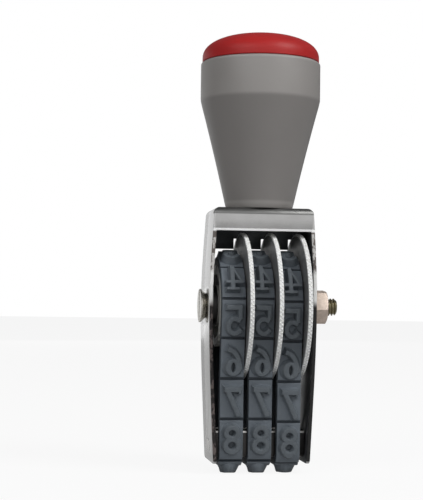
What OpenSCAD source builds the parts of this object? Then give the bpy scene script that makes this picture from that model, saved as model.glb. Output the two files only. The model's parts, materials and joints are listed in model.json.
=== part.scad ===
// Hand numbering stamp: three endless rubber bands of digits run round a platen
// and three drums. Each drum turns with a serrated thumb disc on one axle screw,
// and the last digit of every band prints. A folded yoke carries axle and platen,
// and a flared grip with a domed cap stands on the yoke.
// The stamp stands on its print face: +Z runs up the grip and +X along the axle.

/* [Bands] */
// Width of one rubber band
band_w = 5.35; // [4.8:0.05:6.5]
// Thickness of the plain base of a band
band_base_t = 1.2; // [0.9:0.1:1.6]
// Rise of a pad above the base
pad_rise = 0.6; // [0.3:0.1:0.9]
// Rise of a digit above its pad
digit_rise = 1.6; // [1:0.1:2]
// Height of a digit, measured along the band
digit_h = 7.2; // [5:0.1:7.6]
// Width of a digit across the band
digit_w = 4.5; // [3.2:0.1:4.7]
// Width of the strokes of a digit
stroke_w = 1.4; // [0.8:0.05:1.5]
// Number of pads round a band: ten carry digits and the rest are blank
pad_count = 13; // [11:1:14]
// Width of the groove between two pads
groove_w = 0.5; // [0.2:0.1:0.8]
// How far the pads of the left and middle bands have crept past the print face
creep_left = 0.8; // [-1:0.1:1]
// How far the pads of the right band have crept past it
creep_right = 0.2; // [-1:0.1:1]

/* [Wheels] */
// Radius of a thumb disc over its serrations
disc_r = 16.5; // [15.5:0.1:19]
// Thickness of a thumb disc
disc_t = 0.9; // [0.7:0.1:1.5]
// Number of serrations round a thumb disc
tooth_count = 120; // [60:12:144]
// Depth of the serrations
tooth_depth = 0.3; // [0.1:0.05:0.5]
// Radius on which a band runs over its drum
drum_r = 9.2; // [8:0.1:10]
// Wall of the drum under the band
drum_wall = 1.5; // [1:0.1:2.5]
// Wall of the hub round the axle sleeve
hub_wall = 1.6; // [1:0.1:2.5]
// Thickness of the web between drum wall and hub
web_t = 1.4; // [1:0.1:2.5]
// Number of ribs that grip the band
rib_count = 24; // [12:12:36]
// Height of the ribs
rib_rise = 0.35; // [0.2:0.05:0.6]

/* [Yoke] */
// Thickness of the yoke's sheet
sheet_t = 0.8; // [0.6:0.1:1.2]
// Height of the axle above the print face
axle_z = 36.8; // [35:0.1:45]
// Room between the thumb discs and the top of the yoke
headroom = 4.5; // [4:0.1:8]
// Depth of the yoke, front to back
yoke_d = 15; // [13:0.5:18]
// Height of the front skirt
skirt_h = 5.2; // [3:0.1:6]
// How much further down the rear skirt reaches, with slots for the thumb discs
rear_drop = 3.5; // [1:0.1:4.5]
// Outer radius of the bends at the top
bend_r = 1.4; // [1.3:0.1:2.5]
// How much each leg leans in from the axle to the top
bow_top = 0.95; // [0:0.05:1.2]
// How much each leg leans in from the axle to the foot
bow_foot = 1.25; // [0:0.05:1.4]
// Height of the legs' lower ends above the print face
foot_z = 2.3; // [1:0.1:3]
// Radius of the legs' lower corners
foot_r = 1; // [0.5:0.1:2]

/* [Platen] */
// Depth of the platen, front to back
platen_d = 9.6; // [8.6:0.1:11]
// Height of the platen
platen_h = 5.8; // [4.5:0.1:8]
// Radius of the lower edges that the bands run over
platen_edge_r = 1.2; // [1:0.1:2]
// Thickness of the platen's sheet
platen_t = 0.8; // [0.5:0.1:0.9]
// Width of the tab at each end, front to back
tab_w = 3; // [2:0.1:5]
// Height of the tab
tab_h = 2.2; // [1.2:0.1:3]

/* [Axle] */
// Nominal thread diameter of the axle screw and of the grip's screw
thread_d = 4; // [3.5:0.1:4]
// Diameter of the countersunk head
head_d = 7.5; // [7:0.1:8.5]
// Height of the straight rim of the countersunk head
head_rim = 0.3; // [0.2:0.05:0.6]
// Diameter of the hole that the countersunk head sits in
head_hole_d = 5.5; // [4.8:0.1:5.8]
// Width and depth of the screwdriver slots
slot_w = 1; // [0.8:0.1:1.3]
// Width of the nut across its flats
nut_af = 7; // [6.5:0.1:8]
// Thickness of the nut
nut_t = 3.5; // [2.2:0.1:4]
// Turn of the tightened nut, from two corners up and down, in degrees
nut_turn = 39; // [0:1:59]
// Length of thread that stands out of the nut
thread_end = 2.4; // [1:0.1:5]
// Outer diameter of the sleeve that the wheels turn on
sleeve_d = 6; // [5.4:0.1:7]
// Thickness of the left spacer
spacer_left_t = 1.45; // [0.8:0.05:3]
// Thickness of the right spacer
spacer_right_t = 1.8; // [0.8:0.05:3]
// Outer diameter of the spacers
spacer_d = 9; // [8:0.5:14]

/* [Grip] */
// Radius of the grip where it stands on the yoke
grip_foot_r = 7.5; // [7:0.1:9]
// Radius of the grip at the top of its flare
grip_r = 13.5; // [12.5:0.1:16]
// Height of the flared part
flare_h = 25.2; // [20:0.1:34]
// Height of the straight part above the flare
grip_rim_h = 8; // [5:0.1:12]
// Wall of the grip
grip_wall = 1.9; // [1.4:0.1:2.4]
// Length of the screw in the grip's solid foot
grip_screw_l = 8; // [6:0.5:12]
// Thickness of the foot past the end of the screw
grip_floor_t = 1.5; // [1:0.1:4]
// Diameter of the grip screw's head
pan_d = 7; // [6:0.1:8]
// Height of the grip screw's head
pan_h = 2.3; // [1.8:0.1:2.6]
// Diameter of the washer under that head
washer_d = 9; // [8:0.5:11]
// Thickness of that washer
washer_t = 0.6; // [0.4:0.1:0.8]

/* [Cap] */
// How far the cap's side stands in from the grip's side
cap_inset = 0.3; // [0:0.05:0.8]
// Height of the cap's straight side
cap_side_h = 0.9; // [0.5:0.1:3]
// Height of the cap's dome
cap_dome_h = 5.6; // [3:0.1:8]
// Wall of the cap
cap_wall = 1.8; // [1.2:0.1:2.5]
// Depth of the ring that plugs into the grip
plug_h = 4; // [2:0.1:5]
// Wall of that ring
plug_wall = 1.6; // [1:0.1:2]

/* [Hidden] */

// Clearances
side_play = 0.05;     // between neighbours along the axle
running_fit = 0.05;   // wheel bore to sleeve, radial
band_fit = 0.1;       // band to drum ribs and to platen
thread_fit = 0.04;    // thread crest to a threaded hole, radial
hole_fit = 0.1;       // thread to a plain hole, radial
slot_fit = 0.1;       // tab to its slot
disc_room = 0.4;      // thumb disc to the sides and the top of its slot in the rear skirt
plug_fit = 0.05;      // cap ring to grip, radial
proud = 0.2;          // how far a tab stands out of its leg
over = 1;             // how far a cut runs past what it cuts
fine = 0.01;          // length too short to draw
tuck = 0.003;         // how far the straight runs of a band lie inside the rounds they join
stiff = 0.82;         // share of the relief at which pads keep their length round a drum

$fn = 64;
rad = 180 / PI;

// Stack along the axle
wheel_count = 3;
wheel_pitch = band_w + disc_t + 2 * side_play;
stack_w = wheel_count * wheel_pitch + side_play + spacer_left_t + spacer_right_t;
axle_half_w = stack_w / 2 + sheet_t;
first_x = -stack_w / 2 + spacer_left_t + side_play;
disc_dx = band_w + side_play;

// Heights
relief = band_base_t + pad_rise + digit_rise;
top_z = axle_z + disc_r + headroom + sheet_t;
skirt_z = top_z - skirt_h;
rear_skirt_z = skirt_z - rear_drop;
disc_top_z = axle_z + sqrt(max(pow(disc_r, 2) - pow(yoke_d / 2 - sheet_t, 2), 0));
disc_slot_h = max(disc_top_z + disc_room - rear_skirt_z, 0);
flare_top_z = top_z + flare_h;
cap_z = flare_top_z + grip_rim_h;

// Path of a band's inner face: over the drum, down both runs, round the platen
corner_r = platen_edge_r + band_fit;
corner_y = platen_d / 2 + band_fit - corner_r;
corner_z = relief + corner_r;
reach = norm([corner_y, axle_z - corner_z]);
run_tilt = asin((drum_r - corner_r) / reach) - atan2(corner_y, axle_z - corner_z);
run_l = sqrt(pow(reach, 2) - pow(drum_r - corner_r, 2));

// Lengths along a band from the centre of the print face: along the middle of its base,
// and round the drum along the line at which the thick pads keep their length
corner_mid_r = corner_r + band_base_t / 2;
drum_pad_r = drum_r + stiff * relief;
corner_end = corner_y + corner_mid_r * (90 - run_tilt) / rad;
run_end = corner_end + run_l;
half_loop = run_end + drum_pad_r * (90 + run_tilt) / rad;
pad_pitch = 2 * half_loop / pad_count;

// Radii of the fasteners
thread_r = thread_d / 2 - thread_fit;
hole_r = thread_r + hole_fit;
sleeve_bore_r = thread_d / 2 + hole_fit;
seat_r = head_hole_d / 2 - thread_fit;
nut_r = nut_af / sqrt(3);

// Direction of the outward normal at a length along the band, from straight down
function turn_at(s) =
    s <= corner_y ? 0 :
    s <= corner_end ? (s - corner_y) / corner_mid_r * rad :
    s <= run_end ? 90 - run_tilt :
    90 - run_tilt + (s - run_end) / drum_pad_r * rad;

// Point [y, z] on the front half of the loop, at a rise above the inner face
function spot_at(s, rise) =
    let (turn = turn_at(s), out = [-sin(turn), -cos(turn)], up = [-cos(turn), sin(turn)])
    s <= corner_y ? [-s, corner_z - corner_r - rise] :
    s <= corner_end ? [-corner_y, corner_z] + (corner_r + rise) * out :
    s <= run_end ? [-corner_y, corner_z] + (corner_r + rise) * out + (s - corner_end) * up :
    [0, axle_z] + (drum_r + rise) * out;

// Places children on the band at length s: +Z outwards, +Y along the band
module on_band(s, rise) {
    from_face = s > half_loop ? s - 2 * half_loop : s;
    side = from_face < 0 ? -1 : 1;
    spot = spot_at(abs(from_face), rise);
    translate([0, side * spot[0], spot[1]])
        rotate([180 - side * turn_at(abs(from_face)), 0, 0])
            children();
}

// Extrudes a [y, z] outline along X
module across(x, w) {
    translate([x, 0, 0]) rotate([90, 0, 90]) linear_extrude(w) children();
}

// Extrudes an [x, z] outline along Y, centred
module front_to_back(d) {
    translate([0, d / 2, 0]) rotate([90, 0, 0]) linear_extrude(d) children();
}

// Turns children so that their +Z lies along the axle, from a place on it
module on_axle(x) {
    translate([x, 0, axle_z]) rotate([0, 90, 0]) children();
}

// Strokes of the digits, drawn in a box of digit_w by digit_h about the origin
arm_x = (digit_w - stroke_w) / 2;
arm_y = (digit_h - stroke_w) / 2;
bowl_y = arm_y - arm_x;
module bar(from, to) {
    along = (to - from) / norm(to - from) * stroke_w / 2;
    side = [-along[1], along[0]];
    polygon([from + side, from - side, to - side, to + side]);
}

module ring(centre, r) {
    translate(centre) difference() {
        circle(r + stroke_w / 2);
        circle(r - stroke_w / 2);
    }
}

module arc(centre, r, from, to) {
    steps = 6;
    reach = 3 * r;
    fan = [for (i = [0 : steps]) centre + reach * [
        cos(from + (to - from) * i / steps),
        sin(from + (to - from) * i / steps)
    ]];
    intersection() {
        ring(centre, r);
        polygon(concat([centre], fan));
    }
}

// Closed loop of stroke, drawn out upwards where it is taller than it is wide
module bowl(y, half_h) {
    r = min(arm_x, half_h);
    straight = half_h - r;
    if (straight > fine) {
        arc([0, y + straight], r, 0, 180);
        arc([0, y - straight], r, 180, 360);
        bar([r, y - straight], [r, y + straight]);
        bar([-r, y + straight], [-r, y - straight]);
    } else {
        ring([0, y], r);
    }
}

module digit_zero() {
    bowl(0, arm_y);
}

module digit_one() {
    bar([0.2, -digit_h / 2], [0.2, digit_h / 2]);
    bar([0.2, arm_y - 0.1], [-arm_x * 0.8, arm_y - arm_x]);
}

module digit_two() {
    arc([0, bowl_y], arm_x, -30, 180);
    bar([arm_x * cos(30), bowl_y - arm_x * sin(30)], [-arm_x, -arm_y]);
    bar([-digit_w / 2, -arm_y], [digit_w / 2, -arm_y]);
}

module digit_three() {
    difference() {
        digit_eight();
        translate([-digit_w, -arm_y * 0.6]) square([digit_w - stroke_w * 0.3, arm_y * 1.2]);
    }
}

module digit_four() {
    bar([arm_x * 0.4, arm_y], [-arm_x, -arm_y * 0.3]);
    bar([-digit_w / 2, -arm_y * 0.3], [digit_w / 2, -arm_y * 0.3]);
    bar([arm_x * 0.4, -digit_h / 2], [arm_x * 0.4, digit_h / 2]);
}

module digit_five() {
    bar([-digit_w / 2, arm_y], [digit_w / 2, arm_y]);
    bar([-arm_x, arm_y], [-arm_x, -bowl_y + arm_x * sin(30)]);
    arc([0, -bowl_y], arm_x, -160, 150);
}

module digit_six() {
    half_bowl = arm_x * 1.15;
    bowl(half_bowl - arm_y, half_bowl);
    bar([-arm_x, bowl_y], [-arm_x, -bowl_y]);
    arc([0, bowl_y], arm_x, 40, 180);
}

module digit_seven() {
    bar([-digit_w / 2, arm_y], [digit_w / 2, arm_y]);
    bar([arm_x, arm_y], [-arm_x * 0.4, -digit_h / 2]);
    bar([-arm_x, arm_y], [-arm_x, arm_y - stroke_w]);
}

module digit_eight() {
    for (side = [-1, 1]) bowl(side * arm_y / 2, arm_y / 2);
}

module digit_nine() {
    rotate(180) digit_six();
}

module digit(value) {
    if (value == 0) digit_zero();
    if (value == 1) digit_one();
    if (value == 2) digit_two();
    if (value == 3) digit_three();
    if (value == 4) digit_four();
    if (value == 5) digit_five();
    if (value == 6) digit_six();
    if (value == 7) digit_seven();
    if (value == 8) digit_eight();
    if (value == 9) digit_nine();
}

// Region inside the loop of a band, out to a rise above its inner face
module loop_outline(rise) {
    run = [cos(run_tilt), -sin(run_tilt)];
    drum_side = (drum_r + rise - tuck) * run;
    corner_side = [corner_y, 0] + (corner_r + rise - tuck) * run;
    bottom_z = corner_z - corner_r - rise;
    polygon([
        [-corner_y, bottom_z],
        [corner_y, bottom_z],
        [corner_side[0], corner_z + corner_side[1]],
        [drum_side[0], axle_z + drum_side[1]],
        [-drum_side[0], axle_z + drum_side[1]],
        [-corner_side[0], corner_z + corner_side[1]]
    ]);
    translate([0, axle_z]) circle(drum_r + rise);
    for (y = [-corner_y, corner_y]) translate([y, corner_z]) circle(corner_r + rise);
}

module band(wheel, creep) {
    pad_inset = 0.05;
    root = band_base_t / 2;
    color([0.29, 0.32, 0.36]) translate([first_x + wheel * wheel_pitch, 0, 0]) {
        across(0, band_w) difference() {
            loop_outline(band_base_t);
            loop_outline(0);
        }
        difference() {
            across(pad_inset, band_w - 2 * pad_inset) difference() {
                loop_outline(band_base_t + pad_rise);
                loop_outline(root);
            }
            for (i = [0 : pad_count - 1]) on_band((i + 0.5) * pad_pitch + creep, band_base_t)
                translate([-over, -groove_w / 2, 0])
                    cube([band_w + 2 * over, groove_w, pad_rise + over]);
        }
        intersection() {
            across(0, band_w) loop_outline(relief);
            for (i = [0 : 9]) on_band(i * pad_pitch + creep, root)
                translate([band_w / 2, 0, 0]) mirror([1, 0, 0])
                    linear_extrude(relief + over) digit(9 - i);
        }
    }
}

module thumb_disc(wheel) {
    tooth = 360 / tooth_count;
    color([0.9, 0.9, 0.88]) on_axle(first_x + wheel * wheel_pitch + disc_dx) difference() {
        linear_extrude(disc_t) polygon([for (i = [0 : tooth_count - 1], half = [0, 1])
            (disc_r - half * tooth_depth)
                * [cos((i + half / 2) * tooth), sin((i + half / 2) * tooth)]]);
        translate([0, 0, -over]) cylinder(r = sleeve_d / 2 + running_fit, h = disc_t + 2 * over);
    }
}

module band_drum(wheel) {
    wall_r = drum_r - band_fit - rib_rise;
    hub_r = sleeve_d / 2 + running_fit + hub_wall;
    rib_w = 1;
    color([0.82, 0.82, 0.8]) on_axle(first_x + wheel * wheel_pitch) difference() {
        linear_extrude(disc_dx) union() {
            circle(wall_r);
            for (i = [0 : rib_count - 1]) rotate(i * 360 / rib_count)
                translate([wall_r - rib_rise, -rib_w / 2]) square([2 * rib_rise, rib_w]);
        }
        translate([0, 0, -over]) linear_extrude(disc_dx - web_t + over) difference() {
            circle(wall_r - drum_wall);
            circle(hub_r);
        }
        translate([0, 0, -over])
            cylinder(r = sleeve_d / 2 + running_fit, h = disc_dx + 2 * over);
    }
}

// Each leg is flat round the axle, where nut and spacers clamp it, and leans in beyond
leg_flat = spacer_d / 2 + side_play;
flat_top_z = axle_z + leg_flat;
flat_low_z = axle_z - leg_flat;
lean_curve = 1.3; // 1 is a straight lean

// Half width of the yoke over its legs at a height
function leg_x(z) = axle_half_w - (
    z > flat_top_z ? bow_top * pow((z - flat_top_z) / (top_z - flat_top_z), lean_curve) :
    z < flat_low_z ? bow_foot * pow((flat_low_z - z) / (flat_low_z - foot_z), lean_curve) :
    0
);

// Front outline of the yoke, or of the space inside it for an inset of one sheet
module yoke_front(inset, low_z) {
    steps = 5;
    bend = bend_r - inset;
    shoulder_z = top_z - bend_r;
    shoulder_x = leg_x(shoulder_z) - inset;
    heights = concat(
        [for (i = [0 : steps]) low_z + (flat_low_z - low_z) * i / steps],
        [for (i = [0 : steps]) flat_top_z + (shoulder_z - flat_top_z) * i / steps]
    );
    leg = [for (z = heights) [leg_x(z) - inset, z]];
    far_leg = [for (i = [len(leg) - 1 : -1 : 0]) [-leg[i][0], leg[i][1]]];
    polygon(concat(leg, [
        [shoulder_x - bend, shoulder_z + bend],
        [bend - shoulder_x, shoulder_z + bend]
    ], far_leg));
    for (x = [-1, 1] * (shoulder_x - bend)) translate([x, shoulder_z]) circle(bend);
}

// Side outline of the yoke with rounded corners
module yoke_side(inset, low_z, low_r) {
    half_d = yoke_d / 2 - inset;
    bend = bend_r - inset;
    for (y = [-1, 1]) {
        translate([y * (half_d - bend), top_z - bend_r]) circle(bend);
        translate([y * (half_d - low_r), low_z + low_r]) circle(low_r);
    }
    polygon([
        [low_r - half_d, low_z], [half_d - low_r, low_z],
        [half_d, low_z + low_r], [half_d, top_z - bend_r],
        [half_d - bend, top_z - inset], [bend - half_d, top_z - inset],
        [-half_d, top_z - bend_r], [-half_d, low_z + low_r]
    ]);
}

tab_z = relief + band_fit + platen_t + 0.5;

module yoke() {
    color([0.75, 0.75, 0.76]) difference() {
        intersection() {
            front_to_back(yoke_d + 2 * over) yoke_front(0, foot_z);
            across(-axle_half_w - over, 2 * (axle_half_w + over)) yoke_side(0, foot_z, foot_r);
        }
        // The space under the top and between the skirts
        intersection() {
            front_to_back(yoke_d) yoke_front(sheet_t, foot_z - over);
            across(-axle_half_w, 2 * axle_half_w)
                yoke_side(sheet_t, rear_skirt_z - 2 * over, foot_r / 2);
        }
        // The space between the legs, open at front and rear
        intersection() {
            front_to_back(yoke_d + 4 * over) yoke_front(sheet_t, foot_z - over);
            union() {
                translate([-axle_half_w, -yoke_d, 0])
                    cube([2 * axle_half_w, yoke_d, skirt_z]);
                translate([-axle_half_w, -over, 0])
                    cube([2 * axle_half_w, yoke_d, rear_skirt_z]);
            }
        }
        // Slots in the rear skirt for the thumb discs
        for (wheel = [0 : wheel_count - 1]) translate([
            first_x + wheel * wheel_pitch + disc_dx - disc_room,
            yoke_d / 2 - sheet_t - over / 2,
            rear_skirt_z - over
        ]) cube([disc_t + 2 * disc_room, sheet_t + over, disc_slot_h + over]);
        on_axle(-axle_half_w - over) cylinder(d = head_hole_d, h = axle_half_w);
        on_axle(0) cylinder(r = hole_r, h = axle_half_w + over);
        translate([0, 0, skirt_z]) cylinder(r = hole_r, h = skirt_h + over);
        translate([-axle_half_w - over, -tab_w / 2 - slot_fit, tab_z - slot_fit])
            cube([2 * (axle_half_w + over), tab_w + 2 * slot_fit, tab_h + 2 * slot_fit]);
    }
}

module platen() {
    under_z = relief + band_fit;
    half_w = leg_x(under_z) - sheet_t - side_play;
    half_d = platen_d / 2;
    inner_r = platen_edge_r - platen_t;
    flap_h = platen_h - platen_t;
    module channel(inset, r) {
        for (y = [-1, 1]) translate([y * (half_d - inset - r), under_z + inset + r]) circle(r);
        polygon([
            [r + inset - half_d, under_z + inset], [half_d - inset - r, under_z + inset],
            [half_d - inset, under_z + inset + r], [half_d - inset, under_z + platen_h + inset],
            [inset - half_d, under_z + platen_h + inset], [inset - half_d, under_z + inset + r]
        ]);
    }
    color([0.72, 0.72, 0.7]) {
        across(-half_w, 2 * half_w) difference() {
            channel(0, platen_edge_r);
            channel(platen_t, inner_r);
        }
        for (side = [-1, 1]) {
            across(side > 0 ? half_w - platen_t : -half_w, platen_t)
                translate([-half_d + platen_t / 2, under_z + platen_t / 2])
                    square([platen_d - platen_t, flap_h]);
            out_x = leg_x(tab_z) + proud;
            across(side > 0 ? half_w - platen_t : -out_x, out_x - half_w + platen_t)
                translate([-tab_w / 2, tab_z]) square([tab_w, tab_h]);
        }
    }
}

module axle_screw() {
    seat_x = -axle_half_w;
    cone_h = head_d / 2 - seat_r;
    head_x = seat_x - cone_h - head_rim;
    tip_x = axle_half_w + nut_t + thread_end;
    chamfer = 0.5;
    length = tip_x - head_x;
    neck = head_rim + head_d / 2 - thread_r;
    color([0.78, 0.77, 0.7]) on_axle(head_x) difference() {
        rotate_extrude() polygon([
            [0, 0], [head_d / 2, 0], [head_d / 2, head_rim], [thread_r, neck],
            [thread_r, length - chamfer], [thread_r - chamfer, length], [0, length]
        ]);
        translate([-head_d, -slot_w / 2, -over]) cube([2 * head_d, slot_w, slot_w + over]);
    }
}

module axle_sleeve() {
    color([0.8, 0.7, 0.4]) on_axle(-stack_w / 2) difference() {
        cylinder(d = sleeve_d, h = stack_w);
        translate([0, 0, -over]) cylinder(r = sleeve_bore_r, h = stack_w + 2 * over);
    }
}

module axle_nut() {
    color([0.79, 0.71, 0.63]) on_axle(axle_half_w) difference() {
        intersection() {
            rotate(nut_turn) cylinder(r = nut_r, h = nut_t, $fn = 6);
            // Chamfered corners
            rotate_extrude() polygon([
                [0, 0], [nut_af / 2, 0], [nut_r + 0.2, (nut_r + 0.2 - nut_af / 2) * 0.6],
                [nut_r + 0.2, nut_t - (nut_r + 0.2 - nut_af / 2) * 0.6], [nut_af / 2, nut_t],
                [0, nut_t]
            ]);
        }
        translate([0, 0, -over]) cylinder(d = thread_d, h = nut_t + 2 * over);
    }
}

module spacer(x, t) {
    color([0.72, 0.72, 0.7]) on_axle(x) difference() {
        cylinder(d = spacer_d, h = t);
        translate([0, 0, -over]) cylinder(r = sleeve_d / 2 + running_fit, h = t + 2 * over);
    }
}

// Radius of the grip at a share of the flare's height, with a hollow sweep
function flare_r(share, inset) = grip_foot_r - inset
    + (grip_r - grip_foot_r) * (0.72 * share + 0.28 * share * share);

module grip() {
    steps = 12;
    break_r = 1.5;
    bore_h = grip_screw_l + 0.5;
    floor_h = bore_h + grip_floor_t;
    floor_z = top_z + floor_h;
    mouth_r = grip_r - grip_wall;
    outside = [for (i = [0 : steps - 1]) [flare_r(i / steps, 0), top_z + flare_h * i / steps]];
    inside = [for (i = [steps - 1 : -1 : 0]) let (share = i / steps, z = top_z + flare_h * share)
        if (z > floor_z) [flare_r(share, grip_wall), z]];
    floor_share = floor_h / flare_h;
    color([0.5, 0.49, 0.47]) difference() {
        rotate_extrude() polygon(concat(
            [[0, top_z]],
            outside,
            [
                [grip_r - 0.12, flare_top_z - break_r / 2],
                [grip_r, flare_top_z + break_r / 2],
                [grip_r, cap_z], [mouth_r, cap_z],
                [mouth_r, flare_top_z]
            ],
            inside,
            [[flare_r(floor_share, grip_wall), floor_z], [0, floor_z]]
        ));
        translate([0, 0, top_z - over]) cylinder(d = thread_d, h = bore_h + over);
    }
}

module grip_cap() {
    steps = 14;
    side_r = grip_r - cap_inset;
    plug_r = grip_r - grip_wall - plug_fit;
    hollow_r = plug_r - plug_wall;
    dome_z = cap_z + cap_side_h;
    inner_top_z = dome_z + cap_dome_h - cap_wall;
    outside = [for (i = [0 : steps]) let (a = i * 90 / steps)
        [side_r * cos(a), dome_z + cap_dome_h * sin(a)]];
    inside = [for (i = [steps : -1 : 0]) let (a = i * 90 / steps)
        [hollow_r * cos(a), cap_z + (inner_top_z - cap_z) * sin(a)]];
    color([0.75, 0.13, 0.13]) rotate_extrude() polygon(concat(
        [[plug_r, cap_z - plug_h], [plug_r, cap_z], [side_r, cap_z]],
        outside,
        inside,
        [[hollow_r, cap_z - plug_h]]
    ));
}

module grip_screw() {
    head_z = top_z - sheet_t - washer_t;
    crown = 0.5;
    color([0.75, 0.75, 0.76]) difference() {
        union() {
            translate([0, 0, head_z]) cylinder(r = thread_r, h = top_z - head_z + grip_screw_l);
            translate([0, 0, head_z]) rotate_extrude() polygon([
                [0, 0], [pan_d / 2, 0], [pan_d / 2, crown - pan_h],
                [pan_d / 2 - crown, -pan_h], [0, -pan_h]
            ]);
        }
        translate([-pan_d, -slot_w / 2, head_z - pan_h - over])
            cube([2 * pan_d, slot_w, slot_w + over]);
    }
}

module grip_washer() {
    color([0.7, 0.7, 0.72]) translate([0, 0, top_z - sheet_t - washer_t]) difference() {
        cylinder(d = washer_d, h = washer_t);
        translate([0, 0, -over]) cylinder(r = hole_r, h = washer_t + 2 * over);
    }
}

yoke();
platen();
band(0, creep_left);  // band_left
band(1, creep_left);  // band_middle
band(2, creep_right);  // band_right
thumb_disc(0);  // thumb_disc_left
thumb_disc(1);  // thumb_disc_middle
thumb_disc(2);  // thumb_disc_right
band_drum(0);  // band_drum_left
band_drum(1);  // band_drum_middle
band_drum(2);  // band_drum_right
axle_screw();
axle_sleeve();
axle_nut();
spacer(-stack_w / 2, spacer_left_t);  // spacer_left
spacer(stack_w / 2 - spacer_right_t, spacer_right_t);  // spacer_right
grip();
grip_cap();
grip_screw();
grip_washer();
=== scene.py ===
"""Hand numbering stamp: three rubber number bands in a folded yoke, with a flared grip.

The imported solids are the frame. The pieces below stand for those that show most,
and every piece and solid gets its own finish. Shapes are worked in millimetres and
brought to metres when they are done.
"""

import json
import math

import bmesh
import bpy
from mathutils import Matrix, Vector


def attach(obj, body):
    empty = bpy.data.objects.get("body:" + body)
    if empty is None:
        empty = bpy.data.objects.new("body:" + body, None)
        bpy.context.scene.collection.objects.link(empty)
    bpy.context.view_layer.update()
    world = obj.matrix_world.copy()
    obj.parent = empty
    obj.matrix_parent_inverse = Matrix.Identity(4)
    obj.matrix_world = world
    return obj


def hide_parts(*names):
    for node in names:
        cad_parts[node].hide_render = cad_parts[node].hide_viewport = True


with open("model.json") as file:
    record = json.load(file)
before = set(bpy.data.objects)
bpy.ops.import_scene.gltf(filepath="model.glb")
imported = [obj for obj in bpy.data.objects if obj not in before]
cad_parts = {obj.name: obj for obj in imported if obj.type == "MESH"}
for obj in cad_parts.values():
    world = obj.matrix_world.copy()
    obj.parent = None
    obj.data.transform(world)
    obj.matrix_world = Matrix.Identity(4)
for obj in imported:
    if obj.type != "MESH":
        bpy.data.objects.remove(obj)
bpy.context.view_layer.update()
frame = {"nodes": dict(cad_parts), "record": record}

MM = 0.001
# Points of one shape that lie closer than this, in millimetres, are one point
FINE = 0.0005

# Sizes of the stamp in millimetres, as the solids have them
AXLE_Z = 36.8
AXLE_HALF_W = 11.975
TOP_Z = 58.6
CAP_Z = 91.8
FLARE_TOP_Z = 83.0       # the one exception, 0.8 lower, under a soft break to the rim
YOKE_D = 15
SHEET_T = 0.8
SKIRT_Z = 53.4
REAR_SKIRT_Z = 49.9
FOOT_Z = 2.3
FIRST_BAND_X = -9.675
WHEEL_PITCH = 6.35
BAND_W = 5.35
BASE_T = 1.2
PAD_RISE = 0.6
DIGIT_RISE = 1.6
PADS = 13
GROOVE_W = 0.5
CREEP = (0.8, 0.8, 0.2)
STIFF = 0.82
DISC_DX = 5.4
DISC_T = 0.9
DISC_R = 16.5
BORE_R = 3.05
SIDES = ("left", "middle", "right")


# ---------------------------------------------------------------- modelling

def deselect():
    bpy.ops.object.select_all(action="DESELECT")


def hold(piece):
    """Makes piece the only selected object and the active one."""
    deselect()
    piece.select_set(True)
    bpy.context.view_layer.objects.active = piece


def named(name):
    """The active object, just added or joined, under its own name."""
    piece = bpy.context.active_object
    piece.name = name
    piece.data.name = name
    return piece


def applied(piece):
    """Makes the place, turn and size that piece was given its own."""
    hold(piece)
    bpy.ops.object.transform_apply(location=True, rotation=True, scale=True)
    return piece


def block(name, centre, size):
    """A box of a size about a centre."""
    deselect()
    bpy.ops.mesh.primitive_cube_add(size=1, location=centre, scale=size)
    return applied(named(name))


def select_where(piece, kind, test):
    """In edit mode, selects the faces, edges or vertices that test says yes to."""
    bpy.ops.mesh.select_mode(type=kind)
    bpy.ops.mesh.select_all(action="DESELECT")
    shape = bmesh.from_edit_mesh(piece.data)
    parts = {"FACE": shape.faces, "EDGE": shape.edges, "VERT": shape.verts}[kind]
    for part in parts:
        if test(part):
            part.select_set(True)
    bmesh.update_edit_mesh(piece.data)


def edit(piece):
    """Opens piece in edit mode, where faces are selected first."""
    hold(piece)
    bpy.ops.object.mode_set(mode="EDIT")
    bpy.ops.mesh.select_mode(type="FACE")


def done():
    """Leaves edit mode."""
    bpy.ops.object.mode_set(mode="OBJECT")


def with_modifier(piece, kind, **settings):
    """Gives piece a modifier with these settings, and applies it."""
    hold(piece)
    modifier = piece.modifiers.new(kind.lower(), kind)
    for key, value in settings.items():
        setattr(modifier, key, value)
    bpy.ops.object.modifier_apply(modifier=modifier.name)


def joined(name, pieces):
    """Makes one object of pieces, without welding them."""
    deselect()
    for piece in pieces:
        piece.select_set(True)
    bpy.context.view_layer.objects.active = pieces[0]
    bpy.ops.object.join()
    return named(name)


def united(piece, others):
    """Welds others into piece, one after the other."""
    for other in others:
        with_modifier(piece, "BOOLEAN", operation="UNION", solver="EXACT", use_self=True,
                      object=other)
        bpy.data.objects.remove(other)
    return piece


def linked(name, data):
    """A new object for a curve, camera or lamp."""
    made = bpy.data.objects.new(name, data)
    bpy.context.scene.collection.objects.link(made)
    return made


def twin(piece, name):
    """A second piece of the same shape, with a mesh of its own."""
    copy = piece.copy()
    copy.data = piece.data.copy()
    copy.name = copy.data.name = name
    bpy.context.scene.collection.objects.link(copy)
    return copy


def merged(piece, distance):
    """Merges the points that lie closer than distance, and turns the faces outward."""
    edit(piece)
    bpy.ops.mesh.select_all(action="SELECT")
    bpy.ops.mesh.remove_doubles(threshold=distance)
    bpy.ops.mesh.normals_make_consistent(inside=False)
    done()


def sealed(piece):
    """Renews the faces at the fine cracks that welding leaves."""
    edit(piece)
    select_where(piece, "FACE", lambda f: any(len(e.link_faces) != 2 for e in f.edges))
    bpy.ops.mesh.delete(type="FACE")
    bpy.ops.mesh.select_all(action="SELECT")
    bpy.ops.mesh.fill_holes(sides=0)
    bpy.ops.mesh.normals_make_consistent(inside=False)
    done()


def smooth(piece, angle):
    """Shades piece smooth over all edges that turn by less than angle, in degrees."""
    hold(piece)
    bpy.ops.object.shade_smooth_by_angle(angle=math.radians(angle))


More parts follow.
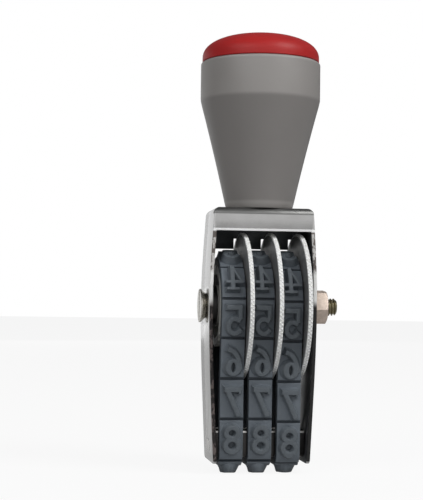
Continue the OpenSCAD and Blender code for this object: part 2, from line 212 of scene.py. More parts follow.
def to_metres(piece):
    """Brings piece from millimetres to metres."""
    piece.scale = (MM, MM, MM)
    return applied(piece)


def drawn(name, outline, lift=0):
    """A line through (radius, z) points, raised by lift and left in edit mode."""
    deselect()
    bpy.ops.mesh.primitive_plane_add(size=1)
    line = named(name)
    edit(line)
    bpy.ops.mesh.select_all(action="SELECT")
    bpy.ops.mesh.merge(type="CENTER")
    bpy.ops.mesh.select_mode(type="VERT")
    bpy.ops.mesh.select_all(action="SELECT")
    bpy.ops.transform.translate(value=(outline[0][0], 0, outline[0][1] + lift))
    for (r0, z0), (r1, z1) in zip(outline, outline[1:]):
        bpy.ops.mesh.extrude_region_move(
            TRANSFORM_OT_translate={"value": (r1 - r0, 0, z1 - z0)}
        )
    return line


def turned(name, outline, steps):
    """Turns a closed outline of (radius, z) points round the Z axis."""
    piece = drawn(name, outline)
    bpy.ops.mesh.select_all(action="SELECT")
    bpy.ops.mesh.spin(
        steps=steps, angle=math.tau, center=(0, 0, 0), axis=(0, 0, 1), dupli=False
    )
    done()
    merged(piece, FINE)
    return piece


def arc(centre, radii, start, end, steps):
    """Points along an upright oval, from one angle in degrees to another."""
    turns = [math.radians(start + (end - start) * i / steps) for i in range(steps + 1)]
    return [
        (centre[0] + radii[0] * math.cos(a), centre[1] + radii[1] * math.sin(a))
        for a in turns
    ]


# ---------------------------------------------------------------- finishes

class Value:
    """A socket's value, which numbers and other values can be added to and so on."""

    def __init__(self, nodes, socket):
        self.nodes, self.socket = nodes, socket

    def maths(self, operation, *terms):
        """The outcome of one operation on up to three terms."""
        return self.nodes.node(
            "ShaderNodeMath", {"operation": operation}, dict(enumerate(terms))
        )

    def __add__(self, other):
        return self.maths("ADD", self, other)

    def __sub__(self, other):
        return self.maths("SUBTRACT", self, other)

    def __rsub__(self, other):
        return self.maths("SUBTRACT", other, self)

    def __mul__(self, other):
        return self.maths("MULTIPLY", self, other)

    def __truediv__(self, other):
        return self.maths("DIVIDE", self, other)

    def __gt__(self, other):
        return self.maths("GREATER_THAN", self, other)

    def __lt__(self, other):
        return self.maths("LESS_THAN", self, other)

    def __pow__(self, other):
        return self.maths("POWER", self, other)

    def __or__(self, other):
        return self.maths("MAXIMUM", self, other)

    def size(self):
        """The value without its sign."""
        return self.maths("ABSOLUTE", self)

    __radd__ = __add__
    __rmul__ = __mul__


class Nodes:
    """The nodes of a material or of the world, which are added one by one."""

    def __init__(self, owner):
        owner.use_nodes = True
        self.owner = owner
        self.tree = owner.node_tree
        self.tree.nodes.clear()

    def node(self, kind, settings=None, inputs=None, out=0):
        """Adds one node, its settings first, and gives one of its outputs."""
        made = self.tree.nodes.new(kind)
        for key, value in (settings or {}).items():
            setattr(made, key, value)
        for key, value in (inputs or {}).items():
            if isinstance(value, Value):
                self.tree.links.new(value.socket, made.inputs[key])
            else:
                made.inputs[key].default_value = value
        return Value(self, made.outputs[out]) if made.outputs else None


class Finish(Nodes):
    """The procedural material of a piece, laid out by the piece's own coordinates."""

    def __init__(self, name):
        super().__init__(bpy.data.materials.new(name))
        self.place = self.node("ShaderNodeTexCoord", out="Object")

    def noise(self, feature, detail=3.0, rough=0.5, stretch=(1, 1, 1), out=0):
        """Noise whose lumps are about feature millimetres across."""
        place = self.node(
            "ShaderNodeMapping", inputs={"Vector": self.place, "Scale": stretch}
        )
        return self.node(
            "ShaderNodeTexNoise",
            inputs={
                "Vector": place,
                "Scale": 1.0 / (feature * MM),
                "Detail": detail,
                "Roughness": rough,
            },
            out=out,
        )

    def ramp(self, value, low, high, floor=0.0, ceiling=1.0):
        """Value taken smoothly from low..high to floor..ceiling, and held beyond."""
        return self.node(
            "ShaderNodeMapRange",
            {"interpolation_type": "SMOOTHSTEP"},
            {0: value, 1: low, 2: high, 3: floor, 4: ceiling},
        )

    def along(self, axis):
        """The place along an axis, in millimetres."""
        split = self.node(
            "ShaderNodeSeparateXYZ", inputs={0: self.place}, out="XYZ".index(axis)
        )
        return split * (1 / MM)

    def mixed(self, factor, first, second):
        """One colour into another, where factor goes from 0 to 1."""
        return self.node(
            "ShaderNodeMix",
            {"data_type": "RGBA"},
            {0: factor, 6: colour(first), 7: colour(second)},
            out=2,
        )

    def surface(self, relief=(), **sockets):
        """Closes the finish. relief holds (height, strength, distance in mm) bumps."""
        normal = None
        for height, strength, distance in relief:
            inputs = {"Height": height, "Strength": strength, "Distance": distance * MM}
            if normal is not None:
                inputs["Normal"] = normal
            normal = self.node("ShaderNodeBump", inputs=inputs)
        shader = {key.replace("_", " "): value for key, value in sockets.items()}
        if normal is not None:
            shader["Normal"] = normal
        if "Base Color" in shader:
            shader["Base Color"] = colour(shader["Base Color"])
        bsdf = self.node("ShaderNodeBsdfPrincipled", inputs=shader)
        self.node("ShaderNodeOutputMaterial", inputs={"Surface": bsdf})
        return self.owner


def colour(value):
    """A plain red, green and blue as a socket takes it, and a Value as it is."""
    return (*value, 1.0) if isinstance(value, tuple) and len(value) == 3 else value


# The legs are flat between these heights, where the spacers bear on them, and
# lean in by these amounts at the top and at the feet
FLAT_TOP_Z = 41.35
FLAT_LOW_Z = 32.25
BOW_TOP = 0.95
BOW_FOOT = 1.25
LEAN_CURVE = 1.3


def leg_half_width(z):
    """Half the width over the legs at a height."""
    above = ((z - FLAT_TOP_Z) / (TOP_Z - FLAT_TOP_Z) | 0.0) ** LEAN_CURVE * BOW_TOP
    below = ((FLAT_LOW_Z - z) / (FLAT_LOW_Z - FOOT_Z) | 0.0) ** LEAN_CURVE * BOW_FOOT
    return AXLE_HALF_W - above - below


def cut_nickel():
    """Sheet nickel with painted shade inside and on the fold, painted light on the legs'
    outer faces, a painted highlight on the hem, and rough sheared leg edges.
    """
    f = Finish("sheared_nickel")
    x, y, z = f.along("X"), f.along("Y"), f.along("Z")
    smear = f.noise(7, 3, 0.5)
    rolled = f.noise(1.5, 2, 0.5, stretch=(0.15, 1, 1))
    shear = f.noise(0.9, 3, 0.6, stretch=(1, 1, 0.6))
    half_d, mid_sheet = YOKE_D / 2, SHEET_T / 2
    # Each region is 1 on its part of the sheet and 0 elsewhere. The cut edges reach
    # this far in from the front and the rear, which takes in their broken corners
    reach = 0.14
    front_cut = (y < reach - half_d) * (z < SKIRT_Z - 0.2)
    rear_cut = (y > half_d - reach) * (z < REAR_SKIRT_Z + 0.06)
    cut = front_cut | rear_cut | (z < FOOT_Z + 0.12)
    # Painted shade: the inner faces of the sheet get a dark, dull colour
    inside = (x.size() < leg_half_width(z) - mid_sheet) * (y.size() < half_d - mid_sheet)
    inside = inside * (z < TOP_Z - mid_sheet)
    # Painted reflection: the legs' outer faces are made lighter
    outside = x.size() > leg_half_width(z) - 0.2
    # Painted highlight: the hem's lower edge is near white and barely metallic
    hem = (y < 0.5 - half_d) * (z > SKIRT_Z - 0.1) * (z < SKIRT_Z + 0.5)
    # Painted shade: the front fold under the top is darker
    fold = (z > TOP_Z - 1.5) * (y < 2 - half_d)
    # The cut edges are brown with painted shade at the foot, near black with painted shade
    # on the right leg, white with a painted highlight over the axle, and mottled above that
    to_bright, to_mottled = (36.5, 38.5), (43.5, 45.5)
    worn = f.ramp(shear, 0.48, 0.58)
    brown_and_painted_shade = f.mixed(worn, (0.012, 0.009, 0.009), (0.13, 0.105, 0.1))
    # Painted shade: the right leg's cut edges are near black
    brown_and_painted_shade = f.mixed(x > 0.0, brown_and_painted_shade, (0.008, 0.008, 0.008))
    grey = f.mixed(worn, (0.13, 0.11, 0.1), (0.6, 0.59, 0.57))
    cut_edge_shade_and_highlight = f.mixed(f.ramp(z, *to_bright), brown_and_painted_shade, (0.9, 0.9, 0.88))
    cut_edge_shade_and_highlight = f.mixed(f.ramp(z, *to_mottled), cut_edge_shade_and_highlight, grey)
    plate = f.mixed(f.ramp(smear, 0.35, 0.7), (0.42, 0.417, 0.41), (0.48, 0.478, 0.473))
    # Painted reflection on the legs' outer faces
    plate = f.mixed(outside, plate, (0.66, 0.657, 0.65))
    plate = f.mixed(fold, plate, (0.2, 0.2, 0.195))
    # Painted shade for the inside of the yoke
    painted_hood_shade = f.mixed(smear, (0.075, 0.078, 0.085), (0.12, 0.125, 0.135))
    base = f.mixed(cut, f.mixed(inside, plate, painted_hood_shade), cut_edge_shade_and_highlight)
    rough = f.ramp(smear, 0.3, 0.75, 0.14, 0.24) + f.ramp(rolled, 0.5, 0.8, 0.0, 0.05)
    return f.surface(
        relief=[
            (rolled, 0.1, 0.01),
            (f.noise(11, 1), 0.3, 0.1),
            (shear * cut, 0.8, 0.15),
        ],
        Base_Color=f.mixed(hem, base, (0.97, 0.97, 0.965)),
        Metallic=1.0 - cut * 0.75 - inside * 0.5 - hem * 0.95,
        Roughness=rough + cut * 0.28 + inside * 0.25 + hem * 0.1 + fold * 0.25,
    )


# All of the platen is below PLATEN_TOP_Z, its flanges' cut edges are above
# CUT_FLANGE_Z, and its tabs' are outside TAB_X
PLATEN_TOP_Z = 10
CUT_FLANGE_Z = 8.9
TAB_X = 10.3


def rolled_sheet():
    """Near-black sheet, its dark colour painted shade mottled by tarnish, with a painted
    highlight where the platen's flanges and tabs are cut.
    """
    f = Finish("rolled_sheet")
    grain = f.noise(0.5, 4, 0.6, stretch=(0.08, 1, 1))
    tarnish = f.noise(4, 4, 0.6)
    x, z = f.along("X"), f.along("Z")
    # Painted highlight on the platen's cut flange and tab edges
    edge = ((z > CUT_FLANGE_Z) | (x.size() > TAB_X)) * (z < PLATEN_TOP_Z)
    # Painted shade: the sheet's near-black colour
    grey = f.mixed(tarnish, (0.035, 0.034, 0.034), (0.07, 0.068, 0.065))
    return f.surface(
        relief=[(grain, 0.3, 0.02)],
        Base_Color=f.mixed(edge, grey, (0.78, 0.77, 0.75)),
        Metallic=0.9,
        Roughness=f.ramp(tarnish, 0.3, 0.7, 0.26, 0.42),
    )


def slate_rubber():
    """Slate rubber with painted shade in the grooves, painted light on the pads, and dust
    flecks on the faces of the digits.
    """
    f = Finish("slate_rubber")
    rise = f.node("ShaderNodeAttribute", {"attribute_name": "rise"}, out="Fac")
    cloud = f.noise(3.5, 4, 0.6)
    dust = f.noise(0.5, 4, 0.7)
    grain = f.noise(0.16, 3, 0.6)
    # Painted light: the pads are lighter than the rubber of the digit faces
    pad_painted_light = f.mixed(cloud, (0.125, 0.145, 0.168), (0.16, 0.184, 0.208))
    # Painted shade: the grooves and the base below the pads are darker
    painted_groove_shade_and_pad_light = f.mixed(f.ramp(rise, 0.4, 0.5), (0.04, 0.05, 0.062), pad_painted_light)
    face = f.mixed(cloud, (0.084, 0.098, 0.11), (0.106, 0.121, 0.134))
    worn = f.ramp(rise, 0.5, 0.98) * f.ramp(dust, 0.2, 0.75, 0.55, 1.0)
    return f.surface(
        relief=[(cloud, 0.3, 0.12), (grain, 0.25, 0.025)],
        Base_Color=f.mixed(worn, painted_groove_shade_and_pad_light, face),
        Roughness=f.ramp(dust, 0.3, 0.7, 0.48, 0.62) + worn * 0.05,
        Specular_IOR_Level=0.4,
    )


# The discs get painted shade inside this radius
SHADED_R = 15.9
DISC_FACE_SHADE = (0.07, 0.075, 0.08)


def ivory_plastic(name, light, dark, stain=0.0):
    """Off-white moulding with flecks, and painted shade by a share inside the rim."""
    f = Finish(name)
    y, z = f.along("Y"), f.along("Z") - AXLE_Z
    # stain is the share of painted shade inside the rim
    inside = (y * y + z * z < SHADED_R**2) * stain
    grime = f.noise(1.6, 4, 0.65)
    fleck = f.noise(0.3, 3, 0.6)
    tint = f.mixed(f.ramp(grime, 0.45, 0.75, 0.0, 0.7), light, dark)
    flecks_and_painted_shade = f.ramp(fleck, 0.62, 0.8, 0.0, 0.35) | inside
    return f.surface(
        relief=[(fleck, 0.25, 0.03)],
        Base_Color=f.mixed(flecks_and_painted_shade, tint, f.mixed(inside, dark, DISC_FACE_SHADE)),
        Roughness=f.ramp(grime, 0.3, 0.7, 0.4, 0.55),
        Subsurface_Weight=0.05,
        Subsurface_Radius=(0.002, 0.002, 0.0016),
    )


def grip_plastic():
    """Warm grey moulding with scuffs, painted light on its rim and foot, and a painted
    highlight along its top edge.
    """
    f = Finish("warm_grey_moulding")
    orange_peel = f.noise(0.9, 2, 0.5)
    cloud = f.noise(12, 4, 0.55)
    scuff = f.noise(0.8, 5, 0.7, stretch=(1, 1, 5))
    z = f.along("Z")
    # Painted light: the rim and the foot are lighter
    rim = f.ramp(z, FLARE_TOP_Z - 0.4, FLARE_TOP_Z + 0.6)
    foot = f.ramp(z, TOP_Z + 2, TOP_Z + 1.2)
    flare_grey = f.mixed(cloud, (0.2, 0.189, 0.181), (0.235, 0.222, 0.213))
    painted_light_grey = f.mixed(cloud, (0.285, 0.27, 0.258), (0.32, 0.305, 0.292))
    # Painted highlight along the top edge under the cap
    edge = f.ramp(z, CAP_Z - 0.9, CAP_Z - 0.3, 0.0, 0.6)
    scuffs_and_edge_highlight = f.ramp(scuff, 0.62, 0.8, 0.0, 0.35) | edge
    base = f.mixed(rim | foot, flare_grey, painted_light_grey)
    return f.surface(
        relief=[(orange_peel, 0.12, 0.04), (f.noise(0.12, 2), 0.12, 0.01)],
        Base_Color=f.mixed(scuffs_and_edge_highlight, base, (0.37, 0.355, 0.345)),
        Roughness=f.ramp(cloud, 0.3, 0.7, 0.36, 0.46) + scuffs_and_edge_highlight * 0.12,
        Specular_IOR_Level=0.45,
    )


def cap_plastic():
    """Satin red moulding with fine scratches."""
    f = Finish("signal_red_moulding")
    cloud = f.noise(9, 3, 0.5)
    scratch = f.noise(0.5, 5, 0.7, stretch=(1, 6, 1))
    return f.surface(
        relief=[(f.noise(1.4, 2), 0.06, 0.04)],
        Base_Color=f.mixed(cloud, (0.4, 0.013, 0.013), (0.47, 0.019, 0.018)),
        Roughness=0.46 + f.ramp(scratch, 0.6, 0.8, 0.0, 0.25),
        Specular_IOR_Level=0.32,
    )


def stained_metal(name, light, dark, metallic, low, high):
    """Metal with small stains, which go from dark to light and from low to high rough."""
    f = Finish(name)
    stain = f.noise(1.1, 4, 0.6)
    return f.surface(
        relief=[(f.noise(0.2, 3, 0.6), 0.2, 0.02)],
        Base_Color=f.mixed(f.ramp(stain, 0.35, 0.7), dark, light),
        Metallic=metallic,
        Roughness=f.ramp(stain, 0.3, 0.7, low, high),
    )


# The screw's rolled thread shows beyond this
THREAD_X = 15.2


def screw_plate():
    """Bright plate on the heads, and an oily yellow film on the rolled thread."""
    f = Finish("plated_screw")
    stain = f.noise(1.1, 4, 0.6)
    thread = f.along("X") > THREAD_X
    plate = f.mixed(f.ramp(stain, 0.35, 0.7), (0.52, 0.5, 0.45), (0.7, 0.68, 0.63))
    oily = f.mixed(stain, (0.19, 0.165, 0.1), (0.35, 0.315, 0.21))
    return f.surface(
        relief=[(f.noise(0.2, 3, 0.6), 0.2, 0.02)],
        Base_Color=f.mixed(thread, plate, oily),
        Metallic=1.0,
        Roughness=f.ramp(stain, 0.3, 0.7, 0.2, 0.34) + thread * 0.12,
    )


FINISHES = {
    "nickel_sheet": cut_nickel(),
    "plain_sheet": rolled_sheet(),
    "band_rubber": slate_rubber(),
    # The discs' faces inside the rim are mostly painted shade
    "disc_plastic": ivory_plastic(
        "ivory_disc", (0.85, 0.855, 0.845), (0.66, 0.655, 0.63), stain=0.86
    ),
    "drum_plastic": ivory_plastic("ivory_drum", (0.56, 0.56, 0.53), (0.36, 0.35, 0.32)),
    "screw_nickel": screw_plate(),
    "sleeve_brass": stained_metal(
        "drawn_brass", (0.72, 0.55, 0.26), (0.5, 0.37, 0.17), 1.0, 0.25, 0.4
    ),
    "nut_zinc": stained_metal(
        "passivated_nut", (0.72, 0.6, 0.52), (0.55, 0.455, 0.38), 0.4, 0.42, 0.54
    ),
    "grip_plastic": grip_plastic(),
    "cap_plastic": cap_plastic(),
}
SLOT_OF = {s["node"]: s["material_slot"] for s in frame["record"]["subparts"]}


def finished(piece, slot):
    """Gives piece the finish of a slot."""
    piece.data.materials.clear()
    piece.data.materials.append(FINISHES[slot])


def stands_for(piece, node):
    """Puts a finished piece in a node's place, on its body and in its finish."""
    to_metres(piece)
    finished(piece, SLOT_OF[node])
    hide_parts(node)
    bodies = frame["record"]["behaviour"]["bodies"]
    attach(piece, next(body for body, nodes in bodies.items() if node in nodes))
    return piece


# ---------------------------------------------------------------- rubber bands

RAISED = BASE_T + PAD_RISE
FACE_Z = RAISED + DIGIT_RISE

# The path of a band's inner face: round the platen, up both runs and over the drum
CORNER_R = 1.3
CORNER_Y = 3.6
CORNER_Z = FACE_Z + CORNER_R
DRUM_R = 9.2
MIDDLE = BASE_T / 2
REACH = math.hypot(CORNER_Y, AXLE_Z - CORNER_Z)
RUN_TURN = (
    math.pi / 2
    - math.asin((DRUM_R - CORNER_R) / REACH)
    + math.atan2(CORNER_Y, AXLE_Z - CORNER_Z)
)
CORNER_END = CORNER_Y + (CORNER_R + MIDDLE) * RUN_TURN
RUN_END = CORNER_END + math.sqrt(REACH**2 - (DRUM_R - CORNER_R) ** 2)
DRUM_TURN = math.pi - RUN_TURN
HALF_LOOP = RUN_END + (DRUM_R + MIDDLE) * DRUM_TURN
# Round the drum the thick pads keep their length further out than their base does
PAD_LINE_R = DRUM_R + STIFF * FACE_Z
SQUEEZE = (DRUM_R + MIDDLE) / PAD_LINE_R
PAD_PITCH = 2 * (RUN_END + PAD_LINE_R * DRUM_TURN) / PADS
PATH_POINTS = 720


def band_spot(length):
    """Point (y, z) on the middle of the base, at a length from the print face."""
    side, s = (-1, -length) if length < 0 else (1, length)
    if s <= CORNER_Y:
        return -side * s, CORNER_Z - CORNER_R - MIDDLE
    radius, y, z, turn = CORNER_R + MIDDLE, -CORNER_Y, CORNER_Z, RUN_TURN
    if s <= CORNER_END:
        turn = (s - CORNER_Y) / radius
    elif s <= RUN_END:
        y -= (s - CORNER_END) * math.cos(turn)
        z += (s - CORNER_END) * math.sin(turn)
    else:
        radius, y, z = DRUM_R + MIDDLE, 0, AXLE_Z
        turn += (s - RUN_END) / radius
    return side * (y - radius * math.sin(turn)), z - radius * math.cos(turn)


def band_path(start):
    """A closed curve once round the loop from a length on it."""
    curve = bpy.data.curves.new("band_path", "CURVE")
    curve.dimensions = "3D"
    spline = curve.splines.new("POLY")
    spline.points.add(PATH_POINTS - 1)
    for i, point in enumerate(spline.points):
        length = start + 2 * HALF_LOOP * i / PATH_POINTS
        length = (length + HALF_LOOP) % (2 * HALF_LOOP) - HALF_LOOP
        point.co = (0, *band_spot(length), 1)
        point.tilt = math.pi
    spline.use_cyclic_u = True
    return linked("band_path", curve)


# A digit's strokes are wide at the foot and drafted to a narrow face
FOOT_W = 2.1
FACE_W = 1.0
DRAFT = 1.1      # how much wider the foot of a ring is than its face
OUTWARD = 0.3    # how far a ring's foot lies outside its face
SINK = 0.15      # how deep strokes are sunk into their pad
ROUND = 0.18     # the rounding of a face, and a point on it
ROUND_POINT = (0.03, 0.04)


def bowed(centre, radii, start, end):
    """Places (u, v) on an arc, about one for every 12 degrees."""
    return arc(centre, radii, start, end, max(4, round(abs(end - start) / 12)))


def poly_curve(name, points, closed):
    """A flat curve through (x, y) points."""
    curve = bpy.data.curves.new(name, "CURVE")
    curve.dimensions = "2D"
    curve.fill_mode = "NONE"
    spline = curve.splines.new("POLY")
    spline.points.add(len(points) - 1)
    for point, (x, y) in zip(spline.points, points):
        point.co = (x, y, 0, 1)
    spline.use_cyclic_u = closed
    return linked(name, curve)


def stroke(places, foot_w=FOOT_W, face_w=FACE_W, lean=0.0):
    """A drafted stroke through (u, v) places. It is a ring where they close.

    Its foot is lean further out than its face, on the outside of a ring.
    """
    foot, face, low, top = foot_w / 2, face_w / 2, RAISED - SINK, FACE_Z
    side = face + (foot - face) / (top - low) * ROUND
    brow, brow_z = face - ROUND_POINT[0], top - ROUND_POINT[1]
    section = [
        (-lean - foot, low), (foot - lean, low), (side, top - ROUND), (brow, brow_z),
        (face - ROUND, top), (ROUND - face, top), (-brow, brow_z), (-side, top - ROUND),
    ]
    ring = math.dist(places[0], places[-1]) < 0.001
    path = [Vector((v, u)) for u, v in places]
    if ring:
        path.pop()
    else:
        path[0] += (path[0] - path[1]).normalized() * foot
        path[-1] += (path[-1] - path[-2]).normalized() * foot
    profile = poly_curve("profile", section, True)
    bar = poly_curve("stroke", path, ring)
    bar.data.bevel_mode = "OBJECT"
    bar.data.bevel_object = profile
    bar.data.use_fill_caps = not ring
    hold(bar)
    bpy.ops.object.convert(target="MESH")
    bpy.data.objects.remove(profile)
    merged(bar, FINE)
    if not ring:
        # Both ends are drafted too
        edit(bar)
        for end, inner in ((path[0], path[1]), (path[-1], path[-2])):
            inward = (inner - end).normalized()
            select_where(
                bar, "VERT",
                lambda p: p.co.z > top - ROUND - 0.01
                and abs((p.co.xy - end).dot(inward)) < 0.01,
            )
            bpy.ops.transform.translate(value=(*(inward * (foot - face)), 0))
        done()
    return bar


def oval(centre, outer, inner):
    """A closed stroke between two upright ovals, given by half widths and heights."""
    face_w = outer[0] - inner[0]
    squash = (outer[1] - inner[1]) / face_w
    radii = ((outer[0] + inner[0]) / 2, (outer[1] + inner[1]) / 2 / squash)
    ring = stroke(bowed((0, 0), radii, 0, 360), face_w + DRAFT, face_w, OUTWARD)
    ring.scale.x = squash
    ring.location = (centre[1], centre[0], 0)
    return applied(ring)


def a_six(sign):
    """The bowl and the tail of a six, or of a nine where sign is -1."""
    half_turn = 90 - 90 * sign
    tail = bowed((sign * 1.15, sign * -1.75), (2.48, 3.9), 180 + half_turn, 98 + half_turn)
    return [((0, sign * -1.75), (1.65, 1.85), (0.5, 1.2))], [(tail, 1.9, 0.95)]


# Each digit's ovals and its strokes, by u (to the right) and v (upward) on its face
DIGITS = {
    0: ([((0, 0), (1.7, 2.9), (0.6, 2.1))], []),
    1: ([], [
        ([(0.3, -2.62), (0.3, 2.55)],),
        ([(0.3, 2.5), (-0.9, 1.5)], 1.6, 0.8),
        ([(-0.8, -2.65), (1.3, -2.65)], 1.6, 0.8),
    ]),
    2: ([], [
        (bowed((0, 1.25), (1.3, 1.4), 165, -35) + [(-1.1, -2.4)],),
        ([(-1.3, -2.6), (1.3, -2.6)],),
    ]),
    3: ([], [
        (bowed((-0.1, 1.35), (1.2, 1.25), 150, -90), 1.8, 0.95),
        (bowed((-0.1, -1.25), (1.4, 1.37), 90, -150),),
    ]),
    4: ([], [
        ([(0.4, -2.35), (0.4, 2.8)], 1.7, 0.9),
        ([(0.35, 2.8), (-1.55, -0.8)], 1.4, 0.7),
        ([(-1.7, -0.95), (1.55, -0.95)], 1.3, 0.65),
        ([(-0.75, -2.5), (1.45, -2.5)], 1.2, 0.55),
    ]),
    5: ([], [
        ([(-1.1, 2.4), (1.2, 2.4)], 1.8, 1.0),
        ([(-1.2, 2.35), (-1.25, 0.3)], 1.6, 0.85),
        (bowed((-0.05, -1.65), (1.37, 1.6), 120, -140), 1.8, 0.95),
    ]),
    6: a_six(1),
    7: ([], [
        ([(-1.4, 2.3), (1.25, 2.3)], 1.9, 1.0),
        ([(-1.6, 2.1), (-1.6, 1.7)], 1.2, 0.5),
        ([(1.1, 2.1), (-1.15, -3.0)], 1.9, 1.0),
    ]),
    8: ([], [
        (bowed((0, 1.6), (1.3, 1.25), 0, 360), 1.8, 0.95),
        (bowed((0, -1.15), (1.45, 1.4), 0, 360), 1.9, 1.0),
    ]),
    9: a_six(-1),
}


def digit_strokes(value):
    """A digit's ovals and strokes, each a piece, about the middle of its face."""
    ovals, strokes = DIGITS[value]
    return [oval(*sizes) for sizes in ovals] + [stroke(*sizes) for sizes in strokes]


# A pad's margin to its groove, the draft of its sides, its rounded edge and the
# cuts across it that let it bend
PAD_MARGIN = 0.05
PAD_DRAFT = 0.985
PAD_ROUND = 0.16
PAD_CUTS = 26


def pad(index):
    """One stretch of band with its pad and, on ten of the thirteen, its digit."""
    s = index * PAD_PITCH
    base = block("pad", (s, 0, BASE_T / 2), (PAD_PITCH, BAND_W, BASE_T))
    edit(base)
    select_where(base, "FACE", lambda f: f.normal.z > 0.9)
    bpy.ops.mesh.inset(thickness=PAD_MARGIN)
    groove = (GROOVE_W - 2 * PAD_MARGIN) / (PAD_PITCH - 2 * PAD_MARGIN)
    bpy.ops.transform.resize(value=(1 - groove, 1, 1))
    bpy.ops.mesh.extrude_region_move(TRANSFORM_OT_translate={"value": (0, 0, PAD_RISE)})
    bpy.ops.transform.resize(value=(PAD_DRAFT, PAD_DRAFT, 1))
    select_where(base, "EDGE", lambda e: all(v.co.z > RAISED - 0.01 for v in e.verts))
    bpy.ops.mesh.bevel(offset=PAD_ROUND, segments=3, affect="EDGES")
    done()
    if index < 10:
        strokes = digit_strokes(9 - index)
        for part in strokes:
            part.location = (s, 0, 0)
            applied(part)
        united(base, strokes)
    # The ends are left open for the next pads
    edit(base)
    select_where(
        base, "FACE",
        lambda f: abs(f.normal.x) > 0.99
        and abs(abs(f.calc_center_median().x - s) - PAD_PITCH / 2) < 0.01,
    )
    bpy.ops.mesh.delete(type="FACE")
    for i in range(1, PAD_CUTS):
        bpy.ops.mesh.select_all(action="SELECT")
        bpy.ops.mesh.bisect(
            plane_co=(s + PAD_PITCH * (i / PAD_CUTS - 0.5), 0, 0), plane_no=(1, 0, 0)
        )
    done()
    return base


# Below WANDER_Z the bands wander to the right, and the rest gives way to it
WANDER = 0.3
WANDER_Z = 5
WANDER_FADE = 15


def number_bands():
    """Lays out one flat band, and bends a copy of it round each wheel's loop."""
    flat = joined("flat_band", [pad(index) for index in range(PADS)])
    flat.location = (PAD_PITCH / 2, 0, -MIDDLE)
    applied(flat)
    merged(flat, 2 * FINE)
    rise = flat.data.attributes.new("rise", "FLOAT", "POINT")
    rise.data.foreach_set("value", [(v.co.z + MIDDLE) / FACE_Z for v in flat.data.vertices])
    for wheel, side in enumerate(SIDES):
        band = twin(flat, f"number_band_{side}")
        start = CREEP[wheel] - PAD_PITCH / 2
        on_drum = RUN_END - start
        off_drum = on_drum + 2 * (DRUM_R + MIDDLE) * DRUM_TURN
        edit(band)
        for place, share in ((on_drum, SQUEEZE), (off_drum, 1 / SQUEEZE)):
            select_where(band, "VERT", lambda v: v.co.x > place)
            bpy.ops.transform.resize(value=(share, 1, 1), center_override=(place, 0, 0))
        done()
        path = band_path(start)
        with_modifier(band, "CURVE", object=path, deform_axis="POS_X")
        bpy.data.objects.remove(path)
        band.location.x = FIRST_BAND_X + wheel * WHEEL_PITCH + BAND_W / 2
        applied(band)
        edit(band)
        select_where(band, "VERT", lambda v: v.co.z < WANDER_Z)
        bpy.ops.transform.translate(
            value=(WANDER, 0, 0), use_proportional_edit=True,
            proportional_edit_falloff="LINEAR", proportional_size=WANDER_FADE,
        )
        done()
        merged(band, 4 * FINE)
        sealed(band)
        smooth(band, 32)
        stands_for(band, f"band_{side}")
    bpy.data.objects.remove(flat)


number_bands()


# ---------------------------------------------------------------- thumb discs

TEETH = 120
TOOTH = 0.12
# A bump rises in two insets, each given by its width and its share of TOOTH
BUMP_INSETS = ((0.07, 0.6), (0.06, 0.35))
# The flat margin of a disc's side, and how wide and deep the step to its web is
MARGIN = 1.5
STEP_W = 0.2
STEP_DEPTH = 0.12


def onto_axle(piece, x):
    """Lays what stands along Z along the axle, with its foot at x."""
    piece.rotation_euler = (0, math.pi / 2, 0)
    piece.location = (x, 0, AXLE_Z)
    return applied(piece)


def thumb_disc():
    """A disc with two lanes of fine staggered bumps round its rim."""
    deselect()
    bpy.ops.mesh.primitive_cylinder_add(
        vertices=2 * TEETH, radius=DISC_R - TOOTH, depth=DISC_T, location=(0, 0, DISC_T / 2)
    )
    disc = applied(named("thumb_disc"))
    edit(disc)
    # Each side: a flat margin, a step into the web, and the bore
    for up in (-1, 1):
        select_where(disc, "FACE", lambda f: f.normal.z * up > 0.9 and len(f.verts) > 4)
        bpy.ops.mesh.inset(thickness=MARGIN)
        bpy.ops.mesh.inset(thickness=STEP_W, depth=-STEP_DEPTH)
        bpy.ops.mesh.inset(thickness=DISC_R - TOOTH - (MARGIN + STEP_W) - BORE_R)
    select_where(disc, "FACE", lambda f: abs(f.normal.z) > 0.9 and len(f.verts) > 4)
    bpy.ops.mesh.delete(type="FACE")
    select_where(disc, "EDGE", lambda e: len(e.link_faces) == 1)
    bpy.ops.mesh.bridge_edge_loops()
    # The rim's two lanes, with a bump on every other face of each
    bpy.ops.mesh.select_all(action="SELECT")
    bpy.ops.mesh.bisect(plane_co=(0, 0, DISC_T / 2), plane_no=(0, 0, 1))

    def bump(face):
        middle = face.calc_center_median()
        if abs(face.normal.z) > 0.1 or middle.xy.length < DISC_R - 1:
            return False
        step = round(math.atan2(middle.y, middle.x) * TEETH / math.pi - 0.5)
        return (step + (middle.z > DISC_T / 2)) % 2 == 0

    select_where(disc, "FACE", bump)
    for width, share in BUMP_INSETS:
        bpy.ops.mesh.inset(thickness=width, depth=TOOTH * share, use_individual=True)
    done()
    merged(disc, FINE)
    smooth(disc, 35)
    return disc


def thumb_discs():
    """Puts one disc of the same shape beside each band."""
    first = thumb_disc()
    for wheel, side in enumerate(SIDES):
        disc = twin(first, f"serrated_disc_{side}")
        onto_axle(disc, FIRST_BAND_X + wheel * WHEEL_PITCH + DISC_DX)
        stands_for(disc, f"thumb_disc_{side}")
    bpy.data.objects.remove(first)


thumb_discs()


# ---------------------------------------------------------------- folded sheet and nut

HEM_ROUND = 0.35


